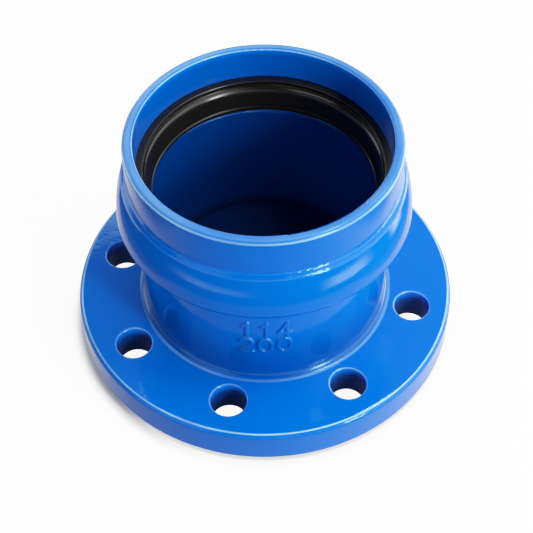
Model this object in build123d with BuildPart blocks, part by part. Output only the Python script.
from build123d import *
import os

# A flanged socket for water mains: one iron casting with a drilled flange at its foot and a
# push-in socket at its top, and the rubber sealing ring that sits in the socket's seat.
# Millimetres. The part stands on its flange: z = 0 is the mating plane of the raised face,
# the axis of the pipe is +Z, and the bolt holes straddle the X and Y axes.

# Flange, nominal size 80, pressure class 16. The lands keep the holes clear of the neck, the rim
# and the raised face, and come to a bolt circle of 160, a rim of 200 and a raised face of 132.
flange_thickness = 22.0
raised_face_height = 3.0
bolt_hole_diameter = 18.0
bolt_count = 8
hole_to_neck_land = 3.5
hole_to_rim_land = 11.0
hole_to_face_land = 5.0
flange_bore_diameter = 80.0

# Socket: its inner sizes follow from the pipe that it takes
pipe_diameter = 114.0
length = 130.0
stop_height = 20.0
stop_fall = 9.0
barrel_clearance = 1.0
mouth_clearance = 5.5
mouth_depth = 18.4
seat_length = 20.0
seat_step = 1.6

# Walls, and the bulge around the seat
mouth_wall = 5.3
neck_wall = 5.5
bulge_rise = 6.3
bulge_wall = 6.6
bulge_shoulder = 2.2
bulge_shoulder_drop = 1.3
bulge_drop = 2.8
seat_floor_wall = 7.6

# Roundings of the casting
flange_top_rounding = 2.5
flange_bottom_rounding = 1.0
raised_face_rounding = 0.6
hole_top_rounding = 1.4
hole_bottom_rounding = 0.8
foot_fillet = 4.0
waist_fillet = 8.0
bulge_low_rounding = 5.0
bulge_top_rounding = 2.6
band_end_fillet = 2.0
rim_outer_rounding = 2.4
rim_inner_rounding = 1.2
mouth_end_rounding = 0.6
seat_floor_fillet = 2.5
barrel_entry_rounding = 1.0
stop_fillet = 1.8
bore_rounding = 3.0

# Sealing ring
ring_clearance = 0.3
lip_squeeze = 1.8
lip_slope = 1.2
lip_bead_height = 2.6
lip_bead_depth = 0.35
lip_land = 1.6
lip_height = 3.2
lip_thickness = 2.6
lip_bulb_drop = 3.2
lip_bulb_height = 4.2
heel_clearance = 1.6
heel_groove_drop = 4.6
heel_groove_depth = 1.5
foot_clearance = 3.6
slot_height = 7.0
ring_rounding = 0.5

# Radii and heights that follow from them
pipe_radius = pipe_diameter / 2
barrel_radius = pipe_radius + barrel_clearance
mouth_radius = pipe_radius + mouth_clearance
neck_radius = barrel_radius + neck_wall
band_radius = mouth_radius + mouth_wall
bulge_radius = band_radius + bulge_rise
bulge_top_radius = band_radius + bulge_shoulder
seat_radius = bulge_radius - bulge_wall
seat_top_radius = mouth_radius + seat_step
flange_bore_radius = flange_bore_diameter / 2
bolt_hole_radius = bolt_hole_diameter / 2
bolt_circle_radius = neck_radius + foot_fillet + hole_to_neck_land + bolt_hole_radius
flange_radius = bolt_circle_radius + bolt_hole_radius + hole_to_rim_land
raised_face_radius = bolt_circle_radius - bolt_hole_radius - hole_to_face_land

seat_top = length - mouth_depth
seat_floor = seat_top - seat_length
band_end = seat_top - bulge_drop
bulge_top = band_end - bulge_shoulder_drop
bulge_low = seat_floor - seat_floor_wall
waist = bulge_low - (bulge_radius - neck_radius)
bore_top = stop_height - stop_fall


def round_corner(sketch, corner, radius):
    """Round the corner of a section that lies at (distance from the axis, height)."""
    fillet(sketch.vertices().sort_by_distance(corner)[0], radius)


os.makedirs("parts", exist_ok=True)


# The casting: flange, neck, bulge and mouth are turned from one section, then drilled.
bore_foot = (flange_bore_radius, 0)
face_edge = (raised_face_radius, 0)
face_root = (raised_face_radius, raised_face_height)
flange_low_edge = (flange_radius, raised_face_height)
flange_top_edge = (flange_radius, flange_thickness)
neck_foot = (neck_radius, flange_thickness)
neck_top = (neck_radius, waist)
bulge_low_corner = (bulge_radius, bulge_low)
bulge_top_corner = (bulge_top_radius, bulge_top)
band_foot = (band_radius, band_end)
rim_outer = (band_radius, length)
rim_inner = (mouth_radius, length)
mouth_foot = (mouth_radius, seat_top)
seat_top_corner = (seat_top_radius, seat_top)
seat_corner = (seat_radius, seat_floor)
barrel_entry = (barrel_radius, seat_floor)
barrel_foot = (barrel_radius, stop_height)
bore_head = (flange_bore_radius, bore_top)

with BuildPart() as socket_body:
    with BuildSketch(Plane.XZ) as body_section:
        with BuildLine():
            Polyline(
                bore_foot,
                face_edge,
                face_root,
                flange_low_edge,
                flange_top_edge,
                neck_foot,
                neck_top,
                bulge_low_corner,
            )
            TangentArc(bulge_low_corner, bulge_top_corner, tangent=(0, 1))
            Polyline(bulge_top_corner, band_foot, rim_outer, rim_inner, mouth_foot, seat_top_corner)
            TangentArc(seat_corner, seat_top_corner, tangent=(0, 1))
            Polyline(seat_corner, barrel_entry, barrel_foot, bore_head, bore_foot)
        make_face()
        round_corner(body_section, face_edge, raised_face_rounding)
        round_corner(body_section, face_root, raised_face_rounding)
        round_corner(body_section, flange_low_edge, flange_bottom_rounding)
        round_corner(body_section, flange_top_edge, flange_top_rounding)
        round_corner(body_section, neck_foot, foot_fillet)
        round_corner(body_section, neck_top, waist_fillet)
        round_corner(body_section, bulge_low_corner, bulge_low_rounding)
        round_corner(body_section, bulge_top_corner, bulge_top_rounding)
        round_corner(body_section, band_foot, band_end_fillet)
        round_corner(body_section, rim_outer, rim_outer_rounding)
        round_corner(body_section, rim_inner, rim_inner_rounding)
        round_corner(body_section, mouth_foot, mouth_end_rounding)
        round_corner(body_section, seat_corner, seat_floor_fillet)
        round_corner(body_section, barrel_entry, barrel_entry_rounding)
        round_corner(body_section, barrel_foot, stop_fillet)
        round_corner(body_section, bore_head, bore_rounding)
    revolve(axis=Axis.Z)

    with BuildSketch(Plane.XY.offset(raised_face_height)):
        with PolarLocations(bolt_circle_radius, bolt_count, start_angle=180 / bolt_count):
            Circle(bolt_hole_radius)
    extrude(amount=flange_thickness - raised_face_height, mode=Mode.SUBTRACT)
    hole_edges = socket_body.edges().filter_by(GeomType.CIRCLE)
    hole_edges = hole_edges.filter_by(lambda edge: abs(edge.radius - bolt_hole_radius) < 0.01)
    hole_edges = hole_edges.group_by(Axis.Z)
    fillet(hole_edges[-1], hole_top_rounding)
    fillet(hole_edges[0], hole_bottom_rounding)

socket_body.part.label = "socket_body"


# The sealing ring: a stiff heel under the seat's top step, a body that fills the seat, and a
# thick lip that leans inward and down to a thin bead, with a slot behind it so that it can bend.
lip_radius = pipe_radius - lip_squeeze
lip_foot = seat_floor + lip_height
heel_radius = pipe_radius + heel_clearance
bulb_radius = lip_radius + lip_slope
bulb_low = seat_top - lip_bulb_drop - lip_bulb_height

heel_inner_edge = (heel_radius, seat_top)
heel_outer_edge = (seat_top_radius - ring_clearance, seat_top)
body_outer_foot = (seat_radius - ring_clearance, seat_floor)
body_inner_foot = (pipe_radius + foot_clearance, seat_floor)
slot_head = (pipe_radius + foot_clearance - lip_thickness / 2, seat_floor + slot_height)
lip_back = (lip_radius + lip_thickness / 2, lip_foot - lip_bead_depth)
bead_low = (lip_radius + lip_bead_depth, lip_foot)
land_low = (lip_radius, lip_foot + (lip_bead_height - lip_land) / 2)
land_high = (lip_radius, lip_foot + (lip_bead_height + lip_land) / 2)
bead_high = (lip_radius + 2 * lip_bead_depth, lip_foot + lip_bead_height)
lip_face_low = (lip_radius + lip_bead_depth, lip_foot + lip_bead_height + lip_bead_depth)
bulb_foot = (bulb_radius, bulb_low)
bulb_middle = (bulb_radius + lip_thickness / 4, seat_top - lip_bulb_drop - lip_bulb_height / 3)
bulb_head = (heel_radius - ring_clearance, seat_top - lip_bulb_drop)
groove_root = (heel_radius + heel_groove_depth, seat_top - heel_groove_drop)

with BuildPart() as sealing_ring:
    with BuildSketch(Plane.XZ) as ring_section:
        with BuildLine():
            Line(heel_inner_edge, heel_outer_edge)
            TangentArc(body_outer_foot, heel_outer_edge, tangent=(0, 1))
            Polyline(body_outer_foot, body_inner_foot, slot_head, lip_back, bead_low)
            Polyline(bead_low, land_low, land_high, bead_high, lip_face_low, bulb_foot)
            ThreePointArc(bulb_foot, bulb_middle, bulb_head)
            Polyline(bulb_head, groove_root, heel_inner_edge)
        make_face()
        round_corner(ring_section, heel_inner_edge, ring_rounding)
        round_corner(ring_section, body_outer_foot, seat_floor_fillet)
        round_corner(ring_section, body_inner_foot, ring_rounding)
        round_corner(ring_section, slot_head, ring_rounding)
        round_corner(ring_section, lip_back, ring_rounding)
        round_corner(ring_section, groove_root, ring_rounding)
    revolve(axis=Axis.Z)

sealing_ring.part.label = "sealing_ring"


export_step(socket_body.part, "parts/socket_body.step")
export_step(sealing_ring.part, "parts/sealing_ring.step")
